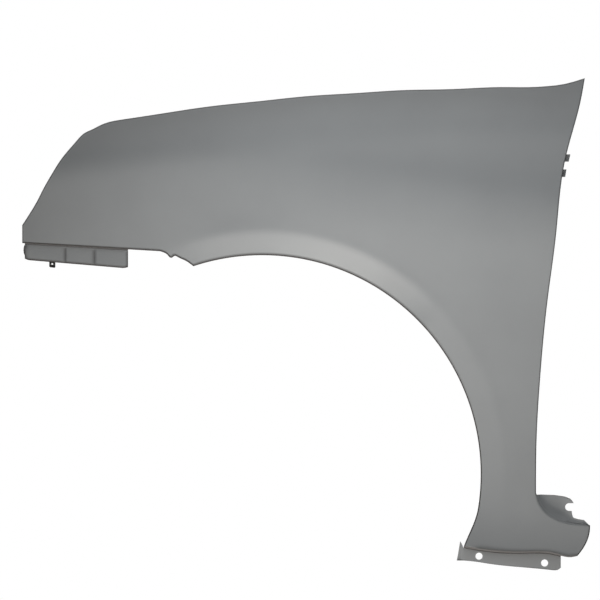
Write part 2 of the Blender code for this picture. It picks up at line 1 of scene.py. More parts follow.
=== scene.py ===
import bmesh
import bpy
import math
import numpy as np
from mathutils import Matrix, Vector


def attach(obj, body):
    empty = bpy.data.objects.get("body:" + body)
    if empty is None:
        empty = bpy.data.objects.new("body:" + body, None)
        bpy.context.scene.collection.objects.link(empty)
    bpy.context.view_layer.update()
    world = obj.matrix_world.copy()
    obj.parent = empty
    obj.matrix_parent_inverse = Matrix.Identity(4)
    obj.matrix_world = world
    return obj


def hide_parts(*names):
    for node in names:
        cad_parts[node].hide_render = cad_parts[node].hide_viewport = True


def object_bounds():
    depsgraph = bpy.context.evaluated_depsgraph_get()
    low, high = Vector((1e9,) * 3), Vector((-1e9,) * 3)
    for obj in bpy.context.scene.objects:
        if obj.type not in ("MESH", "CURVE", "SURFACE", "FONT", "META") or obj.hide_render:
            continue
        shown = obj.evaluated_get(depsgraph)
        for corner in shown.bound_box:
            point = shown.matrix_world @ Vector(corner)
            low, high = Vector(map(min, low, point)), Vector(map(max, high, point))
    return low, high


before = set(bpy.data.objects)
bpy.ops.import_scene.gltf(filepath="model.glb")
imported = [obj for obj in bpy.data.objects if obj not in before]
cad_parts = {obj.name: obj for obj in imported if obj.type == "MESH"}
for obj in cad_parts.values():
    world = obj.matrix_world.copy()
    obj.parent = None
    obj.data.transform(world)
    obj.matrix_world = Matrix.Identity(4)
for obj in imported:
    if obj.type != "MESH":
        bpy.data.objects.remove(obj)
cadBox = [[float(c) for c in corner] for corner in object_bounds()]
print("frame loaded", cadBox)

# All shapes below are laid out from the wheel centre: +X to the tail, +Z up, depth +Y inboard
wheelCentre = Vector((-0.1198976, -0.06624476, -0.59160319))

outline = {
    "archRadius": 0.350,
    "legWidth": 0.0884,
    "doorSweep": 0.0784,
    "noseLength": 0.2748,
    "crownRise": 0.2836,
    "legDepth": 0.0382,
    "archFront": 108.27,  # degrees
    "archBack": -19.8,
    "toeStart": -9.0,
    "toeShare": 0.980,
    # x by the reach from the wheel centre, z by the crown's rise over the arch
    "noseEdge": (
        (-1.0, 0.1707), (-0.973, 0.227), (-0.94, 0.3007), (-0.908, 0.3845), (-0.874, 0.4638),
        (-0.84, 0.5369), (-0.807, 0.5934), (-0.774, 0.6448), (-0.741, 0.6895), (-0.707, 0.7118),
        (-0.674, 0.7348), (-0.64, 0.752)),
    "crownEdge": (
        (-0.574, 0.7688), (-0.408, 0.8025), (-0.208, 0.842), (-0.008, 0.8702), (0.142, 0.8983),
        (0.291, 0.9153), (0.4396, 0.9323), (0.588, 0.9379), (0.737, 0.9493), (0.836, 0.9493),
        (0.886, 0.9549), (0.91, 0.9591), (0.935, 0.966), (0.96, 0.9774), (0.985, 0.9902), (1.0, 1.0)),
    "rollLine": (
        (-1.0, 0.6828), (-0.64, 0.752), (-0.408, 0.8025), (-0.008, 0.8702), (0.291, 0.9153),
        (0.588, 0.9379), (0.836, 0.9493), (1.0, 0.9531)),
    # x by the tail's reach, z by the crown's height
    "doorEdge": (
        (1.0, 1.0), (0.9845, 0.9343), (0.96, 0.861), (0.935, 0.7803), (0.91, 0.606),
        (0.885, 0.447), (0.861, 0.2424), (0.85, 0.0859), (0.8483, -0.0473)),
    # from the front end of the arch, by the nose's length and the crown's rise
    "noseFoot": (-1.0, 0.1312),
    "nub": (
        (-0.194, 0.0848), (-0.1723, 0.0774), (-0.1511, 0.0647), (-0.1408, 0.0524), (-0.1306, 0.0472),
        (-0.1201, 0.0513), (-0.1102, 0.0586), (-0.0898, 0.0513), (-0.0485, 0.0325), (0.0, 0.0)),
    "chinBottom": ((-1.0, 0.0434), (-0.3821, -0.0068)),
    "chinFlangeEnd": -0.3821,
    "swages": (-0.7466, -0.5773),
    "tab": -0.8248,
    # from the back end of the arch, by the leg's reach and depth
    "doorGap": (
        (0.596, 2.2577), (0.6126, 1.8876), (0.6703, 1.4499), (0.7939, 1.07), (0.9175, 0.93),
        (1.0413, 0.90)),
    "sillCrease": (
        (0.0, 0.0), (0.1, -0.1019), (0.2169, -0.1835), (0.4807, -0.2452), (0.7526, -0.3088),
        (0.8189, -0.4043), (0.8828, -0.4441), (0.9374, -0.3884)),
    "sillFlangeEnd": 0.8104,
    "sillBottom": (
        (-0.0572, -0.5814), (0.093, -0.6443), (0.2003, -0.7282), (0.7281, -1.0012), (0.7737, -0.9972),
        (0.8104, -0.854)),
    "sillWing": ((-0.0289, 0.2164), (-0.0385, -0.0581), (-0.0465, -0.3092), (-0.0572, -0.5814)),
    "sillHoles": ((0.1261, -0.4015), (0.6669, -0.686)),
    "lobeTop": (
        (0.6248, 2.1872), (0.7526, 2.1618), (0.8352, 2.0993), (0.8847, 1.9943), (0.9052, 1.8267),
        (0.8969, 1.6385), (0.8887, 1.4499), (0.9009, 1.2195), (0.9422, 1.1567), (0.9917, 1.1149),
        (1.0248, 0.9474), (1.0453, 0.8216)),
    "lobeNotch": (0.8368, 1.6592),
    "lobeBulge": 0.0050,
}

grid = {
    "chinRibs": 56,
    "nubRibs": 26,
    "archRibs": 128,
    "sillRibs": 34,
    "lowRows": (0, .003, .007, .012, .017, .022, .0265, .030, .0335, .037, .0405, .044, .048, .053, .060),
    "highRows": (.080, .068, .057, .047, .038, .030, .023, .017, .012, .0075, .0035, 0),
    "middleRows": 14,
    "fullRib": 0.200,
    # ribs' heads on the outer edge, by share of its length, for ribs' feet
    "crownMatch": ((-1.0, 0.0), (-0.3821, 0.123), (0.0, 0.235)),
    "archMatch": ((90.0, 0.430), (52.0, 1.0)),
    "doorMatch": ((43.0, 0.20), (34.0, 0.38), (25.0, 0.545), (16.0, 0.70), (6.0, 0.84), (-10.8, 1.0)),
    "gapCorner": 0.13,
    # extra ribs beside each swage and the tab, by the nose's length, and the least step between two
    "swageSteps": (-0.026, -0.018, -0.010, -0.004, 0, 0.004),
    "tabHalf": 0.0175,
    "leastStep": 0.0035,
}

section = {
    # slopes of the side at heights from the shoulder line, both by the crown's height
    "heights": (-1.048, -1.010, -0.947, -0.884, -0.821, -0.694, -0.473, -0.316, -0.174, -0.095, -0.047,
                -0.016, 0.047, 0.095, 0.221),
    "slopes": (0.297, 0.246, 0.164, 0.081, 0.006, -0.041, -0.084, -0.114, -0.091, -0.076, -0.023, 0.077, 0.062,
               0.084, 0.181),
    # what the slopes gain towards the door
    "tailSlopes": (0.0, 0.0, 0.0, 0.0, -0.001, 0.009, 0.020, 0.013, -0.043, 0.016, 0.069, -0.030, 0.050,
                   -0.039, -0.008),
    "tailFrom": -0.26,
    "tailTo": 0.62,
    "shoulder": 0.817,
    "shoulderFall": 0.1208,
    "level": 0.0009,  # the whole skin, inboard
    "ledgeSlope": 0.215,
    "ledgeWidth": 0.016,
    "ledgeFront": -0.208,
    "ledgeBack": 0.813,
    "rollReach": 0.088,
    "rollSlope": 0.81,
    "rollPower": 1.35,
    "noseBend": 0.232,
    "noseSetback": 0.105,
    "nosePower": 2.1,
    "bandWidth": 0.0378,
    "bandBlend": 0.0065,
    "bandBlur": 90,
    "bandAngles": (42.0, 50.0, 60.0, 70.0, 80.0, 90.0, 98.0, 105.0, 112.0, 120.0),
    "bandSlopes": (0.085, 0.250, 0.385, 0.420, 0.295, 0.180, 0.178, 0.108, 0.036, 0.0),
    # a low swell over the band, which sinks to a shallow dish at the arch's rear shoulder
    "browHeights": (-0.0006, -0.0015, -0.0020, -0.0019, -0.0004, 0.0009, 0.0009, 0.0005, 0.0001, 0.0),
    "browWidths": (0.042, 0.044, 0.044, 0.042, 0.030, 0.022, 0.022, 0.022, 0.022, 0.022),
}

noseReach = outline["noseLength"] - outline["archRadius"] * math.cos(math.radians(outline["archFront"]))
tailReach = outline["archRadius"] + outline["legWidth"] + outline["doorSweep"]
crownHeight = outline["archRadius"] + outline["crownRise"]


def easeStep(value):
    value = min(max(value, 0), 1)
    return value * value * (3 - 2 * value)


def archPoint(degrees):
    toe = easeStep((outline["toeStart"] - degrees) / (outline["toeStart"] - outline["archBack"]))
    radius = outline["archRadius"] * (1 - (1 - outline["toeShare"]) * toe)
    return radius * math.cos(math.radians(degrees)), radius * math.sin(math.radians(degrees))


def atX(share):
    return share * (tailReach if share >= 0 else noseReach)


frontX, frontZ = archPoint(outline["archFront"])
backX, backZ = archPoint(outline["archBack"])
legReach = tailReach - backX


def topPlaces(shares):
    return np.array([(atX(a), outline["archRadius"] + b * outline["crownRise"]) for a, b in shares])


def doorPlaces(shares):
    return np.array([(a * tailReach, b * crownHeight) for a, b in shares])


def chinPlaces(shares):
    noseLength, crownRise = outline["noseLength"], outline["crownRise"]
    return np.array([(frontX + a * noseLength, frontZ + b * crownRise) for a, b in shares])


def legPlaces(shares):
    return np.array([(backX + a * legReach, backZ + b * outline["legDepth"]) for a, b in shares])


def arcLengths(points):
    return np.concatenate([[0], np.cumsum(np.linalg.norm(np.diff(points, axis=0), axis=1))])


def naturalSpline(points, count=900):
    s = arcLengths(points)
    n = len(s)
    h = np.diff(s)
    system = np.eye(n)
    right = np.zeros((n, 2))
    for i in range(1, n - 1):
        system[i, i - 1:i + 2] = h[i - 1], 2 * (h[i - 1] + h[i]), h[i]
        right[i] = 6 * ((points[i + 1] - points[i]) / h[i] - (points[i] - points[i - 1]) / h[i - 1])
    bend = np.linalg.solve(system, right)
    out = []
    for value in np.linspace(0, s[-1], count):
        k = min(int(np.searchsorted(s, value, side="right")) - 1, n - 2)
        a = (s[k + 1] - value) / h[k]
        b = (value - s[k]) / h[k]
        curve = ((a**3 - a) * bend[k] + (b**3 - b) * bend[k + 1]) * h[k] ** 2 / 6
        out.append(a * points[k] + b * points[k + 1] + curve)
    return np.array(out)


def alongCurve(curve, lengths):
    s = arcLengths(curve)
    return np.column_stack([np.interp(lengths, s, curve[:, 0]), np.interp(lengths, s, curve[:, 1])])


def heightOn(curve, x):
    order = np.argsort(curve[:, 0])
    return float(np.interp(x, curve[order, 0], curve[order, 1]))


def softCurve(xs, ys, count=1500, blur=35):
    # A table of places read as a smooth curve
    fine = np.linspace(xs[0], xs[-1], count)
    raw = np.interp(fine, xs, ys)
    kernel = np.hanning(2 * blur + 1)
    padded = np.concatenate([np.full(blur, raw[0]), raw, np.full(blur, raw[-1])])
    return fine, np.convolve(padded, kernel / kernel.sum(), mode="valid")



def depthsBySlope(slopes):
    # Depth at each height that these slopes add up to, zero at the shoulder line
    shares, soft = softCurve(section["heights"], slopes)
    depths = np.concatenate([[0], np.cumsum((soft[1:] + soft[:-1]) / 2 * np.diff(shares))])
    return shares, (depths - np.interp(0, shares, depths)) * crownHeight


sideShares, sideDepths = depthsBySlope(section["slopes"])
tailDepths = depthsBySlope(section["tailSlopes"])[1]
bandTables = [softCurve(section["bandAngles"], section[name], blur=section["bandBlur"])
              for name in ("bandSlopes", "browHeights", "browWidths")]
rollLine = naturalSpline(topPlaces(outline["rollLine"]))


def skinDepth(x, z):
    s = section
    bendStart = atX(s["noseBend"])
    depth = s["level"] + s["noseSetback"] * max(0, (bendStart - x) / (bendStart + noseReach)) ** s["nosePower"]
    height = z - (crownHeight * s["shoulder"] - s["shoulderFall"] * x)
    depth += float(np.interp(height / crownHeight, sideShares, sideDepths))
    tail = easeStep((x - atX(s["tailFrom"])) / (atX(s["tailTo"]) - atX(s["tailFrom"])))
    depth += tail * float(np.interp(height / crownHeight, sideShares, tailDepths))
    fade = easeStep((x - atX(s["ledgeFront"])) / (atX(s["ledgeBack"]) - atX(s["ledgeFront"])))
    rise = 1 + math.erf(height / s["ledgeWidth"])
    depth += fade * (s["ledgeSlope"] * s["ledgeWidth"] * math.sqrt(math.pi) * rise / 2)
    rolled = max(0, 1 - (heightOn(rollLine, x) - z) / s["rollReach"])
    depth += s["rollSlope"] * s["rollReach"] / (s["rollPower"] + 1) * rolled ** (s["rollPower"] + 1)
    angle = math.degrees(math.atan2(z, x))
    slope, swell, reach = (float(np.interp(angle, degrees, values)) for degrees, values in bandTables)
    beyond = math.hypot(x, z) - (outline["archRadius"] + s["bandWidth"])
    chamfer = max(0, -beyond)
    if abs(beyond) < s["bandBlend"]:
        chamfer = (s["bandBlend"] - beyond) ** 2 / (4 * s["bandBlend"])
    brow = swell * math.exp(-((beyond / reach) ** 2))
    return depth + slope * chamfer - brow


# Outer edge, front to back: nose and crown, door, door gap
noseEdgeLength = arcLengths(topPlaces(outline["noseEdge"]))[-1]
crown = naturalSpline(topPlaces(outline["noseEdge"] + outline["crownEdge"]))
gap = naturalSpline(legPlaces(outline["doorGap"]))
doorKnots = doorPlaces(outline["doorEdge"])
doorKnots[-1] = gap[0]
door = naturalSpline(doorKnots)
outer = np.vstack([crown, door[1:], gap[1:]])
crownLength, doorLength, gapLength = (arcLengths(c)[-1] for c in (crown, door, gap))
gapStart = crownLength + doorLength

# Lower edge, front to back: chin, nub, arch, sill crease
chinStations = list(np.linspace(-1.0, outline["nub"][0][0], grid["chinRibs"]))
chinStations += [station + step for station in outline["swages"] for step in grid["swageSteps"]]
tabStations = [outline["tab"] + side * grid["tabHalf"] for side in (-1, 0, 1)]
chinStations = sorted(chinStations + tabStations + [outline["chinFlangeEnd"]])
marked = {*outline["swages"], *tabStations, outline["chinFlangeEnd"]}
keep = [chinStations[0]]
for station in chinStations[1:]:
    if station - keep[-1] > grid["leastStep"]:
        keep.append(station)
    elif station in marked:
        keep[-1] = station
chinStations = keep[:-1]
chinLine = chinPlaces((outline["noseFoot"], outline["nub"][0]))
chinFeet = []
for station in chinStations:
    x = frontX + station * outline["noseLength"]
    chinFeet.append((x, heightOn(chinLine, x)))
nubCurve = naturalSpline(chinPlaces(outline["nub"]))
nubFeet = alongCurve(nubCurve, np.linspace(0, arcLengths(nubCurve)[-1], grid["nubRibs"] + 1)[:-1])
archTurns = np.linspace(outline["archFront"], outline["archBack"], grid["archRibs"] + 1)
archFeet = [archPoint(degrees) for degrees in archTurns]
sillCurve = naturalSpline(legPlaces(outline["sillCrease"]))
sillFeet = alongCurve(sillCurve, np.linspace(0, arcLengths(sillCurve)[-1], grid["sillRibs"] + 1)[1:])
feet = np.vstack([chinFeet, nubFeet, archFeet, sillFeet])
archStart = len(chinFeet) + len(nubFeet)
sillStart = archStart + grid["archRibs"]
lastRib = len(feet) - 1

footLengths = arcLengths(feet)


def footLengthAt(degrees):
    # Length along the lower edge to this angle of the arch
    archLengths = footLengths[archStart:sillStart + 1] - footLengths[archStart]
    return footLengths[archStart] + float(np.interp(-degrees, -archTurns, archLengths))


matchFeet, matchHeads = [], []
for station, share in grid["crownMatch"]:
    x = frontX + station * outline["noseLength"]
    matchFeet.append(float(np.interp(x, feet[:archStart + 1, 0], footLengths[:archStart + 1])))
    matchHeads.append(crownLength * share)
for degrees, share in grid["archMatch"]:
    matchFeet.append(footLengthAt(degrees))
    matchHeads.append(crownLength * share)
for degrees, share in grid["doorMatch"]:
    matchFeet.append(footLengthAt(degrees))
    matchHeads.append(crownLength + doorLength * share)
matchFeet += [footLengths[sillStart], footLengths[-1]]
matchHeads += [gapStart + gapLength * grid["gapCorner"], gapStart + gapLength]
headLengths = np.interp(footLengths, matchFeet, matchHeads)
taken = {0, lastRib}


def moveRib(length):
    # The nearest free rib takes this exact place on the outer edge
    rib = next(int(i) for i in np.argsort(np.abs(headLengths - length)) if int(i) not in taken)
    taken.add(rib)
    headLengths[rib] = length


def lengthAtHeight(z):
    return crownLength + float(np.interp(-z, -door[:, 1], arcLengths(door)))


ear = {
    "heights": (0.5114, 0.4997, 0.4873, 0.4752),  # tops and feet of the two prongs
    "reaches": (0.0064, 0.0052),
    "bend": 0.003,
    "firstStep": (0.0006, 0.7),  # out from the wall, and share of the bend
}
earLengths = [lengthAtHeight(z) for z in ear["heights"]]
for length in [noseEdgeLength, crownLength, gapStart] + earLengths:
    moveRib(length)
headLengths = np.sort(headLengths)
heads = alongCurve(outer, headLengths)


def ribAt(length):
    return int(np.argmin(np.abs(headLengths - length)))


noseCornerRib, tipRib, gapRib = ribAt(noseEdgeLength), ribAt(crownLength), ribAt(gapStart)
earRibs = [ribAt(length) for length in earLengths]
rowCount = len(grid["lowRows"]) + grid["middleRows"] + len(grid["highRows"])


def ribPoints(foot, head, bulge=0):
    run = np.array(head) - foot
    length = float(np.linalg.norm(run))
    scale = min(1, length / grid["fullRib"])
    low = [scale * reach for reach in grid["lowRows"]]
    high = [length - scale * reach for reach in grid["highRows"]]
    step = (high[0] - low[-1]) / (grid["middleRows"] + 1)
    reaches = low + [low[-1] + step * (k + 1) for k in range(grid["middleRows"])] + high
    points = []
    for r in reaches:
        arch = bulge * 4 * r / length * (1 - r / length)
        points.append((foot[0] + run[0] * r / length + arch, foot[1] + run[1] * r / length))
    return points


# The skin: a grid laid over the panel, its border set in by the radius of the rolled edge
rolledEdge = {  # shades are painted shade on the edges, 0 for none to 1 for the darkest
    "radius": 0.0022,
    "rings": 4,
    "lobeEase": 0.0020,  # the roll at the lobe's recess is wider
    "lobeEnds": (5, 3),  # ribs over which it widens
    # how dark the painted shade is on the lower edge, the outer edge and the sill crease
    "footShade": 1.0,
    "headShade": 0.45,
    "creaseShade": 0.93,
    "firstRing": 2.8,  # added to the ring's number, so that the first ring is nearly as dark as the last
    # how dark the painted shade is on the skin beside the sill and the arch
    "sillShade": 0.62,
    "sillReach": 0.028,
    "sillRibs": 5,
    "archShade": 0.65,
    "archFade": 0.8,  # share of the arch over which its edge darkens, from the foot up
}
borderRibs = [(i, 0) for i in range(lastRib + 1)]
borderRibs += [(lastRib, j) for j in range(1, rowCount - 1)]
borderRibs += [(i, rowCount - 1) for i in range(lastRib, -1, -1)]
borderRibs += [(0, j) for j in range(rowCount - 2, 0, -1)]
sideColumns = {0: ribPoints(feet[0], heads[0]), lastRib: ribPoints(feet[-1], heads[-1], outline["lobeBulge"])}
border = []
for i, j in borderRibs:
    border.append(feet[i] if j == 0 else heads[i] if j == rowCount - 1 else sideColumns[i][j])
border = np.array(border)
before = border - np.roll(border, 1, axis=0)
after = np.roll(border, -1, axis=0) - border
before /= np.linalg.norm(before, axis=1)[:, None]
after /= np.linalg.norm(after, axis=1)[:, None]
along = before + after
outward = np.column_stack([along[:, 1], -along[:, 0]]) / np.linalg.norm(along, axis=1)[:, None]
outward /= np.sqrt(np.maximum((1 + np.sum(before * after, axis=1)) / 2, 0.25))[:, None]
inset = border - outward * rolledEdge["radius"]
borderIndex = {ribRow: k for k, ribRow in enumerate(borderRibs)}
for i, bulge in ((0, 0), (lastRib, outline["lobeBulge"])):
    column = ribPoints(inset[borderIndex[(i, 0)]], inset[borderIndex[(i, rowCount - 1)]], bulge)
    for j in range(1, rowCount - 1):
        inset[borderIndex[(i, j)]] = column[j]

bpy.ops.object.select_all(action="DESELECT")
bpy.ops.mesh.primitive_grid_add(x_subdivisions=lastRib, y_subdivisions=rowCount - 1, size=1)
panel = bpy.context.object
panel.name = "fenderSkin"
skin = {}
for vert in panel.data.vertices:
    skin[(round((vert.co.x + 0.5) * lastRib), round((vert.co.y + 0.5) * (rowCount - 1)))] = vert.index
for i in range(lastRib + 1):
    column = ribPoints(inset[borderIndex[(i, 0)]], inset[borderIndex[(i, rowCount - 1)]])
    for j in range(rowCount):
        x, z = inset[borderIndex[(i, j)]] if (i, j) in borderIndex else column[j]
        panel.data.vertices[skin[(i, j)]].co = wheelCentre + Vector((x, skinDepth(x, z), z))
print("skin laid out", lastRib + 1, "ribs", rowCount, "rows")

# Painted shade, point by point: a dark line along the lower edge that fades out towards the sill, and a
# darkening of the skin above the sill crease
shadeOfSkin = panel.data.attributes.new("shade", "FLOAT", "POINT")
for i in range(sillStart):
    rise = easeStep((sillStart - i) / (rolledEdge["archFade"] * grid["archRibs"]))
    shadeOfSkin.data[skin[(i, 0)]].value = rolledEdge["archShade"] * rise
for i in range(sillStart, lastRib + 1):
    for j, reach in enumerate(grid["lowRows"]):
        near = max(0, 1 - reach / rolledEdge["sillReach"]) * easeStep((i - sillStart) / rolledEdge["sillRibs"])
        shadeOfSkin.data[skin[(i, j)]].value = rolledEdge["sillShade"] * near * near
bpy.ops.object.mode_set(mode="EDIT")
bpy.ops.mesh.select_mode(type="EDGE")


def place(index):
    # Place of a point from the wheel centre
    mesh = bmesh.from_edit_mesh(panel.data)
    mesh.verts.ensure_lookup_table()
    return mesh.verts[index].co - wheelCentre


def pullEdge(rim, targets, closed=False, shades=None):
    # Extrudes the edge that runs through these points, and sets the new edge in place
    mesh = bmesh.from_edit_mesh(panel.data)
    mesh.verts.ensure_lookup_table()
    bpy.ops.mesh.select_all(action="DESELECT")
    for a, b in zip(rim, rim[1:] + (rim[:1] if closed else [])):
        mesh.edges.get((mesh.verts[a], mesh.verts[b])).select_set(True)
    bmesh.update_edit_mesh(panel.data)
    bpy.ops.mesh.extrude_edges_move()
    mesh = bmesh.from_edit_mesh(panel.data)
    mesh.verts.index_update()
    mesh.verts.ensure_lookup_table()
    fresh = {tuple(round(c, 7) for c in v.co): v for v in mesh.verts if v.select}
    found = [fresh[tuple(round(c, 7) for c in mesh.verts[a].co)] for a in rim]
    layer = mesh.verts.layers.float.get("shade")
    for k, (vert, target) in enumerate(zip(found, targets)):
        vert.co = wheelCentre + Vector(target)
        if shades is not None:
            vert[layer] = shades[k] if isinstance(shades, (list, tuple)) else shades
    bmesh.update_edit_mesh(panel.data)
    return [vert.index for vert in found]


# Rolled edge all round
rim = [skin[ribRow] for ribRow in borderRibs]
rimDepths = [place(v).y for v in rim]
radius = rolledEdge["radius"]
atLobe = []
frontRibs, backRibs = rolledEdge["lobeEnds"]
for i, j in borderRibs:
    inLobe = j == rowCount - 1 and i > gapRib
    atLobe.append(easeStep(min((i - gapRib) / frontRibs, (lastRib - i) / backRibs)) if inLobe else 0)
for ring in range(1, rolledEdge["rings"] + 1):
    turn = math.pi / 2 * ring / rolledEdge["rings"]
    targets, shades = [], []
    for k, (i, j) in enumerate(borderRibs):
        reach = radius * math.sin(turn) + rolledEdge["lobeEase"] * atLobe[k] * ring / rolledEdge["rings"]
        x, z = inset[k] + outward[k] * reach
        targets.append((x, rimDepths[k] + radius * (1 - math.cos(turn)), z))
        # painted shade on each ring, for the shadow along the rolled edge; less of it at the lobe
        side = "footShade" if j == 0 or i == lastRib else "headShade"
        if j == 0 and i >= sillStart:
            side = "creaseShade"
        share = min(1, (ring + rolledEdge["firstRing"]) / rolledEdge["rings"])
        shades.append(rolledEdge[side] * (1 - atLobe[k]) * share)
    rim = pullEdge(rim, targets, closed=True, shades=shades)
print("edge rolled")


def footRim(ribs):
    return [rim[borderIndex[(i, 0)]] for i in ribs]


def headRim(ribs):
    return [rim[borderIndex[(i, rowCount - 1)]] for i in ribs]


returns = {  # widths of the walls that turn inboard
    "arch": 0.0125,
    "nose": 0.014,
    "door": 0.014,
    "chin": 0.009,
    "lobe": 0.005,
    # painted shade on the walls, darkest at their roots
    "shade": 0.12,
    "shadeFade": 1.4,  # less the share of the width, it scales the shade
    "taper": 4,  # ribs over which a wall comes to its full width
    "nubRibs": 6,  # ribs of the nub that the chin's wall still runs along
}


def returnWall(roots, width):
    last = len(roots) - 1
    lower = roots
    for share in (0.5, 1):
        targets = []
        for k, root in enumerate(roots):
            at = place(root)
            grow = min(1, (min(k, last - k) + 1) / returns["taper"])
            targets.append((at.x, at.y + (width - radius) * share * grow, at.z))
        lower = pullEdge(lower, targets, shades=returns["shade"] * (returns["shadeFade"] - share))
    return lower


returnWall(footRim(range(archStart + 1, sillStart - 1)), returns["arch"])
returnWall(headRim(range(2, noseCornerRib - 1)), returns["nose"])
chinEndRib = int(np.argmin(np.abs(np.array(chinStations) - outline["chinFlangeEnd"])))
returnWall(footRim(range(chinEndRib + 1, len(chinFeet) + returns["nubRibs"])), returns["chin"])
sillEndX = backX + outline["sillFlangeEnd"] * legReach
sillEndRib = int(np.argmin(np.abs(feet[:, 0] - sillEndX) + (np.arange(lastRib + 1) < sillStart)))
returnWall(footRim(range(sillEndRib + 2, lastRib)), returns["lobe"])
returnWall([rim[borderIndex[(lastRib, j)]] for j in range(2, rowCount - 2)], returns["lobe"])
doorRibs = list(range(tipRib + 3, gapRib - 2))
doorWall = returnWall(headRim(doorRibs), returns["door"])

# Two prongs turned back out from the door wall
earPlane = place(doorWall[doorRibs.index(earRibs[0])]).y + ear["bend"]
for top, foot, reach in zip(earRibs[::2], earRibs[1::2], ear["reaches"]):
    root = [doorWall[doorRibs.index(i)] for i in range(top, foot + 1)]
    for out, rise in (ear["firstStep"], (ear["bend"] / 2, 1.0), (reach, 1.0)):
        targets = []
        for k, v in enumerate(root):
            at = place(doorWall[doorRibs.index(top + k)])
            targets.append((at.x + out, at.y + (earPlane - at.y) * rise, at.z))
        root = pullEdge(root, targets)
print("walls and prongs turned")

gutter = {
    "steps": ((0.0006, -0.0003), (0.0013, -0.0013), (0.0026, -0.0050), (0.0048, -0.0115), (0.0055, -0.0134),
              (0.0067, -0.0148), (0.0090, -0.0154), (0.0160, -0.0154), (0.0260, -0.0154), (0.0350, -0.0154)),
    "pads": (-0.429, 0.232, 0.784),
    "padHalf": 0.019,
    "padBlend": 0.016,
    "holeRadius": 0.0045,
    "holeInset": 0.0242,
    "twinShare": 0.75,
    "twinPad": 1,
    "punchDepth": 0.012,
    "ends": 5,  # ribs over which the flange comes to its full width
    "narrow": 0.45,  # share of its width at the ends
    "flange": 0.0090,  # inboard of here lies the flange
    "drop": 0.0154,
    "wall": (0.0013, 0.0120),  # the wall takes up what the pads lift
    # painted shade on the gutter's first steps, next to the rolled edge
    "shadeReach": 0.0040,
    "shade": 0.25,
}


def padLevel(x, z):
    # Flat at each bolt pad, and along the crown between them
    for share in gutter["pads"]:
        hold = 1 - easeStep((abs(x - atX(share)) - gutter["padHalf"]) / gutter["padBlend"])
        z = z * (1 - hold) + heightOn(crown, atX(share)) * hold
    return z


gutterRibs = range(noseCornerRib + 3, tipRib - 2)
roots = headRim(gutterRibs)
edgePlaces = [place(v) for v in roots]
previous = roots
for inboard, drop in gutter["steps"]:
    targets = []
    for k, at in enumerate(edgePlaces):
        grow = easeStep((min(k, len(roots) - 1 - k) + 1) / gutter["ends"])
        wide = gutter["narrow"] + (1 - gutter["narrow"]) * grow
        beyond = max(0, inboard - gutter["flange"])
        reach = inboard if beyond == 0 else gutter["flange"] + beyond * wide
        sink = easeStep((-drop - gutter["wall"][0]) / gutter["wall"][1])
        base = at.z + (padLevel(at.x, at.z) - at.z) * sink
        targets.append((at.x, at.y + reach, base + drop))
    previous = pullEdge(previous, targets, shades=gutter["shade"] if inboard < gutter["shadeReach"] else 0.0)
print("bonnet gutter folded")


flangeStart = 0.0007  # width of a flange's first row
flangeShares = (0.2, 0.4, 0.6, 0.8, 0.93, 1.0)  # rows of the sill flange and the lobe


def joggle(roots, directions, plane, rows, shade, flat):
    # Rows go in from the rolled edge, then bend out to the set-back plane
    starts = [place(v) for v in roots]
    previous = roots
    # each row of the joggle takes the painted shade given, for the shadow under the skin's edge
    for out, share in rows:
        targets = []
        for at, (outX, outZ) in zip(starts, directions):
            x, z = at.x + outX * out, at.z + outZ * out
            y = at.y - radius
            targets.append((x, y + (plane(x) - y) * share, z))
        previous = pullEdge(previous, targets, shades=shade)
    # A first narrow row of the flange, where the joggle's painted shade gives way to the flange's
    targets = []
    for v, (directionX, directionZ) in zip(previous, directions):
        at = place(v)
        targets.append((at.x + directionX * flangeStart, at.y, at.z + directionZ * flangeStart))
    return pullEdge(previous, targets, shades=flat)


chinFlange = {
    "setback": 0.0066,
    "slope": -0.365,
    "datum": -0.9832,  # the set-back is measured here, by the nose's length
    "rows": ((0.0, 0.60), (0.0001, 0.90), (0.0006, 0.975), (0.0014, 1.0)),
    # rowShade is painted shade on the joggle
    "rowShade": 0.8,
    "shares": (0.12, 0.3, 0.5, 0.7, 0.86, 0.95, 1.0),
    "rim": 0.0034,
    "rimTurn": 0.0016,
    "footLift": 0.0018,
    "cornerRise": 0.0020,
    "swageDepth": 0.0009,
    "swageWidth": 0.0075,
    "swageStep": 0.0005,
    "swageFrom": 0.2,  # share of the flange's height at which a swage has its full depth
    "tabDrop": 0.0086,
    "tabHalf": 0.0052,
    "tabShares": (0.5, 0.85, 1.0),
    "tabNarrow": 0.75,
    "tabHole": 0.0013,
    "tabHoleDrop": 0.0045,
    "punchDepth": 0.03,
    # painted shade: over the whole flange, on its end columns, on its bottom row and along the swage lines
    "shade": 0.0,
    "endShades": (1, 0.25, 0.7),  # first, second and last column
    "lowShade": 0.35,
    "swageShade": 0.50,
    "swageBlur": 0.0026,
    "swageSides": (1.6, 0.7),  # how far the shade runs to the front and to the back, by the blur
    "swageShift": 0.0006,
    "lean": 0.07,  # faces a little down
    "endBulge": 0.0022,
}
chinRoots = footRim(range(1, chinEndRib + 1))
chinDatumX = frontX + chinFlange["datum"] * outline["noseLength"]
chinDatum = skinDepth(chinDatumX, heightOn(chinLine, chinDatumX))


def chinPlane(x):
    return chinDatum + chinFlange["setback"] + chinFlange["slope"] * (x - chinDatumX)


def swage(x):
    # Each swage sinks slowly and comes back in one step
    deep = 0
    width = chinFlange["swageWidth"]
    for line in swageLines:
        if line - width < x < line + chinFlange["swageStep"]:
            deep = chinFlange["swageDepth"] * easeStep((x - line + width) / width)
    return deep


# Painted shade along each swage line, wider to the front
def grooveShade(x):
    groove = 0
    for line in swageLines:
        line = line - chinFlange["swageShift"]
        blur = chinFlange["swageBlur"] * chinFlange["swageSides"][0 if x < line else 1]
        groove += math.exp(-(((x - line) / blur) ** 2))
    return chinFlange["swageShade"] * groove


